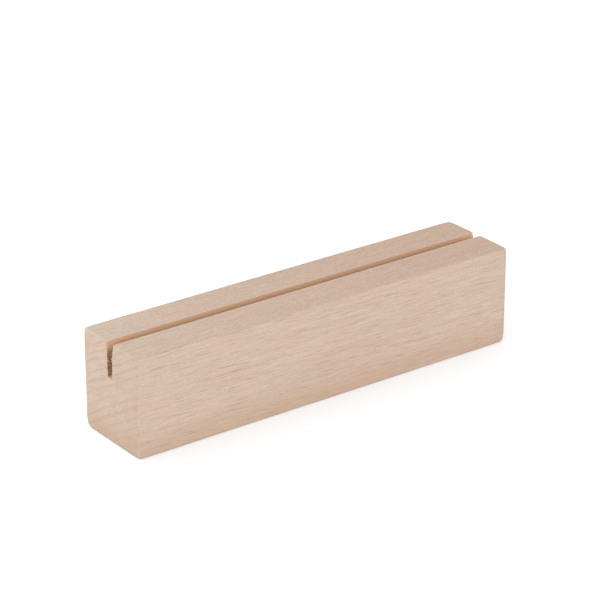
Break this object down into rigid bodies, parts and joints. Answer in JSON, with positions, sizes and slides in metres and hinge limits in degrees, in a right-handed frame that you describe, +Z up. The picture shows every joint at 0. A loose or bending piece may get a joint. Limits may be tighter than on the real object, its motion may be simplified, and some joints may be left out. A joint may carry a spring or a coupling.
{
  "type": "table number holder",
  "caption": "Solid beech block with a slot sawn along its top that holds a card or thin table number sign upright.",
  "frame": {"origin": "middle of the flat underside, on the surface the block stands on", "axes": "+X along the block and its slot, -Y out of the front face, +Z up"},
  "size_m": [0.15, 0.0308, 0.0348],
  "materials": {
    "beech": "fine-sanded, unfinished"
  },
  "bodies": {
    "root": {"beech_block": "beech"}
  },
  "joints": []
}
